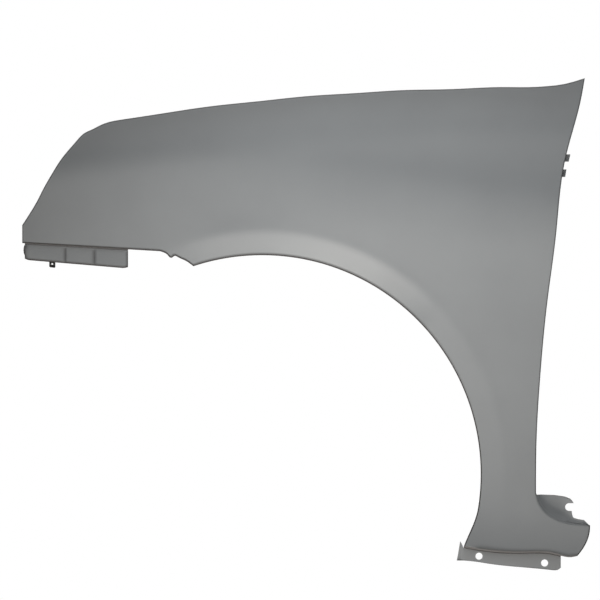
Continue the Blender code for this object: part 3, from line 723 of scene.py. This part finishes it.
swageLines = [frontX + station * outline["noseLength"] for station in outline["swages"]]
chinBottom = chinPlaces(outline["chinBottom"])
downward = [(0, -1)] * len(chinRoots)
previous = joggle(
    chinRoots, downward, chinPlane, chinFlange["rows"], chinFlange["rowShade"], chinFlange["shade"])
base = [place(v) for v in previous]
firstShade, secondShade, lastShade = chinFlange["endShades"]
for share in chinFlange["shares"]:
    targets, shades = [], []
    for k, at in enumerate(base):
        corner = chinFlange["cornerRise"] * max(0, 1 - min(k, len(base) - 1 - k) / 2) ** 2
        foot = heightOn(chinBottom, at.x) + corner + chinFlange["footLift"]
        press = swage(at.x) * min(1, share / chinFlange["swageFrom"])
        bulge = chinFlange["endBulge"] * math.sin(math.pi * min(1, share + 0.05)) * max(0, 1 - k / 2)
        lean = chinFlange["lean"] * (at.z - foot) * share
        targets.append((at.x - bulge, chinPlane(at.x) + press + lean, at.z + (foot - at.z) * share))
        end = firstShade if k == 0 else secondShade if k == 1 else lastShade if k == len(base) - 1 else 0
        low = chinFlange["lowShade"] if share == 1.0 else 0
        shades.append(max(chinFlange["shade"], end, low, grooveShade(at.x)))
    previous = pullEdge(previous, targets, shades=shades)
lows = [place(v) for v in previous]
# The rim turned under takes full painted shade
for turn in (math.pi / 4, math.pi / 2):
    drop = chinFlange["rim"] * math.sin(turn)
    inboard = chinFlange["rimTurn"] * (1 - math.cos(turn))
    targets = [(low.x, low.y + inboard, low.z - drop) for low in lows]
    previous = pullEdge(previous, targets, shades=1.0)
tabX = frontX + outline["tab"] * outline["noseLength"]
previous = [v for v in previous if abs(place(v).x - tabX) < chinFlange["tabHalf"]]
tabStart = [place(v) for v in previous]
for share in chinFlange["tabShares"]:
    narrow = chinFlange["tabNarrow"] if share == 1.0 else 1.0
    drop = chinFlange["tabDrop"] * share
    previous = pullEdge(previous, [(tabX + (at.x - tabX) * narrow, at.y, at.z - drop) for at in tabStart])
print("bumper flange folded")

sillFlange = {
    "setback": 0.0135,
    "rows": ((0.0, 0.50), (0.0001, 0.88), (0.0007, 0.97), (0.0018, 1.0)),
    # painted shade: a dark joggle, a slightly darker flange and a dark bottom edge
    "rowShade": 0.92,
    "shade": 0.06,
    "lastShade": 0.7,
    "footLift": 0.0006,
    "wingTurn": 0.004,
    "wingFrom": 0.3,
    "wingShares": (0.35, 0.7, 1.0),
    "holeRadius": 0.0056,
    "punchDepth": 0.02,
}
sillBottom = naturalSpline(legPlaces(outline["sillBottom"])) + np.array([0, sillFlange["footLift"]])
sillDatum = legPlaces(outline["sillCrease"])[2]
sillPlane = skinDepth(sillDatum[0], sillDatum[1]) + sillFlange["setback"]
sillRoots = footRim(range(sillStart, sillEndRib + 1))
downward = [(0, -1)] * len(sillRoots)
previous = joggle(
    sillRoots, downward, lambda x: sillPlane, sillFlange["rows"], sillFlange["rowShade"], sillFlange["shade"])
base = [place(v) for v in previous]
wingRow = [previous[0]]
for share in flangeShares:
    targets = [(at.x, sillPlane, at.z + (heightOn(sillBottom, at.x) - at.z) * share) for at in base]
    shade = sillFlange["lastShade"] if share == 1.0 else sillFlange["shade"]
    previous = pullEdge(previous, targets, shades=shade)
    wingRow.append(previous[0])
# A small wing at its front end, turned a little inboard
wing = naturalSpline(legPlaces(outline["sillWing"]), 60)
starts = [place(v) for v in wingRow]
for share in sillFlange["wingShares"]:
    targets = []
    for k, at in enumerate(starts):
        x, z = wing[round(k / (len(starts) - 1) * (len(wing) - 1))]
        late = (share - sillFlange["wingFrom"]) / (1 - sillFlange["wingFrom"])
        turn = sillFlange["wingTurn"] * easeStep(late)
        targets.append((at.x + (x - at.x) * share, sillPlane + turn, at.z + (z - at.z) * share))
    wingRow = pullEdge(wingRow, targets)
print("sill flange folded")

lobe = {
    "setback": 0.0062,
    "rows": ((0.0011, 0.38), (0.0023, 0.50), (0.0037, 0.62), (0.0053, 0.74), (0.0071, 0.85), (0.0091, 0.935),
             (0.0113, 0.985), (0.0136, 1.0)),
    "gapMatch": (0.0, 0.303, 0.50, 0.62, 0.79, 1.0),
    "topMatch": (0.0, 0.213, 0.442, 0.634, 0.784, 1.0),
    "leastRun": 0.0175,
    # painted shade along the lobe flange's outer edge
    "lastShade": 0.6,
    "notchRadius": 0.0061,
    "notchReach": 0.03,
    "punchDepth": 0.02,
    "fade": (0.78, 0.97, 0.85),  # the recess runs out to the skin between these shares of the leg's reach
}
lobeTop = legPlaces(outline["lobeTop"])
lobeTopLength = arcLengths(lobeTop)[-1]
lobePlane = skinDepth(gap[0][0], gap[0][1]) + lobe["setback"]


def lobeLevel(x):
    fadeStart, fadeEnd, share = lobe["fade"]
    fade = easeStep(((x - backX) / legReach - fadeStart) / (fadeEnd - fadeStart))
    return lobePlane - lobe["setback"] * share * fade


lobeRibs = range(gapRib + 2, lastRib)
lobeRoots = headRim(lobeRibs)
lobeTargets, lobeDirections = [], []
for v, i in zip(lobeRoots, lobeRibs):
    along = (headLengths[i] - gapStart) / gapLength
    across = float(np.interp(along, lobe["gapMatch"], lobe["topMatch"]))
    target = alongCurve(lobeTop, [across * lobeTopLength])[0]
    at = place(v)
    run = target - np.array((at.x, at.z))
    lobeTargets.append(target)
    lobeDirections.append(run / max(float(np.linalg.norm(run)), lobe["leastRun"]))
previous = joggle(lobeRoots, lobeDirections, lobeLevel, lobe["rows"], 0.0, 0.0)
base = [place(v) for v in previous]
for share in flangeShares:
    targets = []
    for at, target in zip(base, lobeTargets):
        x = at.x + (target[0] - at.x) * share
        targets.append((x, lobeLevel(x), at.z + (target[1] - at.z) * share))
    previous = pullEdge(previous, targets, shades=lobe["lastShade"] if share == 1.0 else 0.0)
print("lobe flange folded")

bpy.ops.mesh.select_all(action="SELECT")
bpy.ops.mesh.normals_make_consistent(inside=False)
bpy.ops.object.mode_set(mode="OBJECT")
if panel.data.polygons[0].normal.y > 0:
    bpy.ops.object.mode_set(mode="EDIT")
    bpy.ops.mesh.select_all(action="SELECT")
    bpy.ops.mesh.flip_normals()
    bpy.ops.object.mode_set(mode="OBJECT")

steel = {"thickness": 0.0008, "smoothAngle": 42, "punchSides": 40}
sheet = panel.modifiers.new("sheet", "SOLIDIFY")
sheet.thickness = steel["thickness"]
sheet.offset = -1
sheet.use_even_offset = True
sheet.use_quality_normals = True
bpy.ops.object.modifier_apply(modifier="sheet")
print("sheet thickness applied")


def cutHole(centre, axis, holeRadius, depth):
    # A round punch at this place, along this axis
    bpy.ops.object.select_all(action="DESELECT")
    turn = Vector((0, 0, 1)).rotation_difference(Vector(axis)).to_euler()
    bpy.ops.mesh.primitive_cylinder_add(
        vertices=steel["punchSides"], radius=holeRadius, depth=depth, location=wheelCentre + Vector(centre),
        rotation=turn)
    cutWith(bpy.context.object)


def cutBox(low, high):
    bpy.ops.object.select_all(action="DESELECT")
    middle = (Vector(low) + Vector(high)) / 2
    bpy.ops.mesh.primitive_cube_add(size=1, location=wheelCentre + middle, scale=Vector(high) - Vector(low))
    cutWith(bpy.context.object)


def cutWith(punch):
    cut = panel.modifiers.new("cut", "BOOLEAN")
    cut.operation = "DIFFERENCE"
    cut.solver = "EXACT"
    cut.object = punch
    bpy.ops.object.select_all(action="DESELECT")
    bpy.context.view_layer.objects.active = panel
    panel.select_set(True)
    bpy.ops.object.modifier_apply(modifier="cut")
    bpy.data.objects.remove(punch, do_unlink=True)


linerHoles = {
    "degrees": (96.0, 72.0, 44.0, 16.0, -8.0),
    "radius": 0.003,
    "depthShare": 0.60,
    "punchDepth": 0.010,
}
for count, share in enumerate(gutter["pads"]):
    x = atX(share)
    z = heightOn(crown, x)
    depth = skinDepth(x, z) + gutter["holeInset"]
    for side in ((-1, 1) if count == gutter["twinPad"] else (0,)):
        holeX = x + side * gutter["padHalf"] * gutter["twinShare"]
        cutHole((holeX, depth, z - gutter["drop"]), (0, 0, 1), gutter["holeRadius"], gutter["punchDepth"])
for x, z in legPlaces(outline["sillHoles"]):
    cutHole((x, sillPlane, z), (0, 1, 0), sillFlange["holeRadius"], sillFlange["punchDepth"])
for degrees in linerHoles["degrees"]:
    x, z = archPoint(degrees)
    depth = skinDepth(x, z) + returns["arch"] * linerHoles["depthShare"]
    cutHole((x, depth, z), (x, 0, z), linerHoles["radius"], linerHoles["punchDepth"])
tabHoleZ = heightOn(chinBottom, tabX) - chinFlange["tabHoleDrop"]
cutHole((tabX, chinPlane(tabX), tabHoleZ), (0, 1, 0), chinFlange["tabHole"], chinFlange["punchDepth"])
# The lobe's slot: a round end, open to the back
notchX, notchZ = legPlaces((outline["lobeNotch"],))[0]
notchX += lobe["notchRadius"]
cutHole((notchX, lobePlane, notchZ), (0, 1, 0), lobe["notchRadius"], lobe["punchDepth"])
half = lobe["punchDepth"] / 2
cutBox((notchX, lobePlane - half, notchZ - lobe["notchRadius"]),
       (notchX + lobe["notchReach"], lobePlane + half, notchZ + lobe["notchRadius"]))
print("holes punched")

bpy.ops.object.shade_smooth_by_angle(angle=math.radians(steel["smoothAngle"]))
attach(panel, "root")
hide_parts("fender_panel")

# Grey primer on both sides of the steel, mixed towards a near-black by the painted shade attribute
primer = {
    "pale": (0.276, 0.282, 0.287),
    "deep": (0.252, 0.257, 0.262),
    "paintedShadeColour": (0.027, 0.024, 0.023),  # painted shade colour, mixed in by the shade attribute
    "roughness": (0.68, 0.80),
    "shine": 0.15,
    "cloudScale": 7.0,
    "cloudRange": (0.3, 0.7),
    "grainScale": 900.0,
    "grainShare": 0.35,
    "toneRange": (0.45, 0.90),
    "peelScale": 420.0,
    "peelHeight": 0.00003,
    "peelStrength": 0.25,
}


def addNode(tree, kind, **values):
    node = tree.nodes.new(kind)
    for key, value in values.items():
        if key in node.inputs:
            node.inputs[key].default_value = value
        else:
            setattr(node, key, value)
    return node


def makePrimer():
    material = bpy.data.materials.new("greyPrimer")
    material.use_nodes = True
    tree = material.node_tree
    shader = tree.nodes["Principled BSDF"]
    shader.inputs["Specular IOR Level"].default_value = primer["shine"]
    coords = addNode(tree, "ShaderNodeTexCoord")
    cloud = addNode(tree, "ShaderNodeTexNoise", Scale=primer["cloudScale"], Detail=4.0, Roughness=0.55)
    grain = addNode(tree, "ShaderNodeTexNoise", Scale=primer["grainScale"], Detail=2.0, Roughness=0.6)
    peel = addNode(tree, "ShaderNodeTexNoise", Scale=primer["peelScale"], Detail=1.0, Roughness=0.4)
    for texture in (cloud, grain, peel):
        tree.links.new(coords.outputs["Object"], texture.inputs["Vector"])
    tone = addNode(tree, "ShaderNodeMix", data_type="RGBA")
    tone.inputs["A"].default_value = (*primer["deep"], 1)
    tone.inputs["B"].default_value = (*primer["pale"], 1)
    mixTone = addNode(tree, "ShaderNodeMath", operation="MULTIPLY_ADD")
    mixTone.inputs[1].default_value = primer["grainShare"]
    tree.links.new(grain.outputs["Fac"], mixTone.inputs[0])
    tree.links.new(cloud.outputs["Fac"], mixTone.inputs[2])
    toneRange = addNode(tree, "ShaderNodeMapRange")
    toneRange.inputs["From Min"].default_value, toneRange.inputs["From Max"].default_value = primer["toneRange"]
    tree.links.new(mixTone.outputs[0], toneRange.inputs["Value"])
    tree.links.new(toneRange.outputs["Result"], tone.inputs["Factor"])
    # painted shade: the shade attribute mixes the primer towards the shade colour
    shade = addNode(tree, "ShaderNodeAttribute", attribute_name="shade")
    edge = addNode(tree, "ShaderNodeMix", data_type="RGBA")
    edge.inputs["B"].default_value = (*primer["paintedShadeColour"], 1)
    tree.links.new(shade.outputs["Fac"], edge.inputs["Factor"])
    tree.links.new(tone.outputs["Result"], edge.inputs["A"])
    tree.links.new(edge.outputs["Result"], shader.inputs["Base Color"])
    rough = addNode(tree, "ShaderNodeMapRange")
    rough.inputs["From Min"].default_value, rough.inputs["From Max"].default_value = primer["cloudRange"]
    rough.inputs["To Min"].default_value, rough.inputs["To Max"].default_value = primer["roughness"]
    tree.links.new(cloud.outputs["Fac"], rough.inputs["Value"])
    tree.links.new(rough.outputs["Result"], shader.inputs["Roughness"])
    bump = addNode(tree, "ShaderNodeBump", Strength=primer["peelStrength"], Distance=primer["peelHeight"])
    tree.links.new(peel.outputs["Fac"], bump.inputs["Height"])
    tree.links.new(bump.outputs["Normal"], shader.inputs["Normal"])
    return material


panel.data.materials.clear()
panel.data.materials.append(makePrimer())
print("primer made")

# Floor, light and camera
studio = {
    "floorGap": 2.2,  # the fender hangs clear of the floor, for the lamps below it
    "floorSize": 60,
    "floorColour": (0.9, 0.9, 0.9),
    "floorGlow": 0.97,  # share of plain white in what the camera sees of the floor
    "ambient": 0.01,
    "lampAim": (-0.06, 0, -0.31),
    "lamps": (  # place, side in metres, watts, colour
        ("keyLamp", (0.0, -0.65, -0.1), 1.0, 4.8, (0.97, 1.0, 1.01)),
        ("lowLamp", (-0.1, -0.25, -2.3), 1.0, 97, (1.0, 0.965, 0.91)),
        ("topLamp", (-0.8, -0.6, 2.0), 1.0, 8.6, (1.0, 0.95, 0.88)),
        ("highLamp", (0.2, -0.6, 1.6), 1.0, 3.4, (1.0, 1.0, 1.0)),
        ("backLamp", (0.4, 3.0, -0.2), 2.0, 105, (1.0, 1.0, 1.0))),
    "viewWidth": 0.96,
    "distance": 40.0,
    "aim": (-0.0591, -0.03, -0.3132),
    "sensor": 36,
    "clipEnd": 200,
}
floorZ = cadBox[0][2] - studio["floorGap"]
bpy.ops.mesh.primitive_plane_add(size=studio["floorSize"], location=(0, 0, floorZ))
floor = bpy.context.object
floor.name = "floor"
floorMaterial = bpy.data.materials.new("paleFloor")
floorMaterial.use_nodes = True
tree = floorMaterial.node_tree
tree.nodes.clear()
output = tree.nodes.new("ShaderNodeOutputMaterial")
diffuse = addNode(tree, "ShaderNodeBsdfDiffuse")
diffuse.inputs["Color"].default_value = (*studio["floorColour"], 1)
glow = addNode(tree, "ShaderNodeEmission", Strength=1.0)
path = addNode(tree, "ShaderNodeLightPath")
blend = addNode(tree, "ShaderNodeMixShader")
glowShare = addNode(tree, "ShaderNodeMath", operation="MULTIPLY")
glowShare.inputs[1].default_value = studio["floorGlow"]
tree.links.new(path.outputs["Is Camera Ray"], glowShare.inputs[0])
tree.links.new(glowShare.outputs[0], blend.inputs["Fac"])
tree.links.new(diffuse.outputs[0], blend.inputs[1])
tree.links.new(glow.outputs[0], blend.inputs[2])
tree.links.new(blend.outputs[0], output.inputs["Surface"])
floor.data.materials.append(floorMaterial)

world = bpy.context.scene.world or bpy.data.worlds.new("studio")
bpy.context.scene.world = world
world.use_nodes = True
tree = world.node_tree
tree.nodes.clear()
output = tree.nodes.new("ShaderNodeOutputWorld")
ambient = addNode(tree, "ShaderNodeBackground", Strength=studio["ambient"])
ambient.inputs["Color"].default_value = (1, 1, 1, 1)
white = addNode(tree, "ShaderNodeBackground", Strength=1.0)
white.inputs["Color"].default_value = (1, 1, 1, 1)
path = addNode(tree, "ShaderNodeLightPath")
seen = addNode(tree, "ShaderNodeMath", operation="MAXIMUM")
mirrored = addNode(tree, "ShaderNodeMath", operation="MAXIMUM")
blend = addNode(tree, "ShaderNodeMixShader")
tree.links.new(path.outputs["Is Camera Ray"], seen.inputs[0])
tree.links.new(path.outputs["Is Transmission Ray"], seen.inputs[1])
tree.links.new(seen.outputs[0], mirrored.inputs[0])
tree.links.new(path.outputs["Is Glossy Ray"], mirrored.inputs[1])
tree.links.new(mirrored.outputs[0], blend.inputs["Fac"])
tree.links.new(ambient.outputs[0], blend.inputs[1])
tree.links.new(white.outputs[0], blend.inputs[2])
tree.links.new(blend.outputs[0], output.inputs["Surface"])

for name, location, side, power, colour in studio["lamps"]:
    bpy.ops.object.light_add(type="AREA", location=location)
    lamp = bpy.context.object
    lamp.name = name
    lamp.data.shape = "RECTANGLE"
    lamp.data.size = lamp.data.size_y = side
    lamp.data.energy = power
    lamp.data.color = colour
    lamp.visible_camera = False
    lamp.rotation_euler = (Vector(studio["lampAim"]) - Vector(location)).to_track_quat("-Z", "Y").to_euler()

aim = Vector(studio["aim"])
bpy.ops.object.camera_add(location=aim - Vector((0, studio["distance"], 0)), rotation=(math.pi / 2, 0, 0))
camera = bpy.context.object
camera.data.sensor_width = studio["sensor"]
camera.data.lens = studio["sensor"] * studio["distance"] / studio["viewWidth"]
camera.data.clip_end = studio["clipEnd"]
bpy.context.scene.camera = camera
bpy.context.scene.view_settings.view_transform = "Standard"
print("studio set")
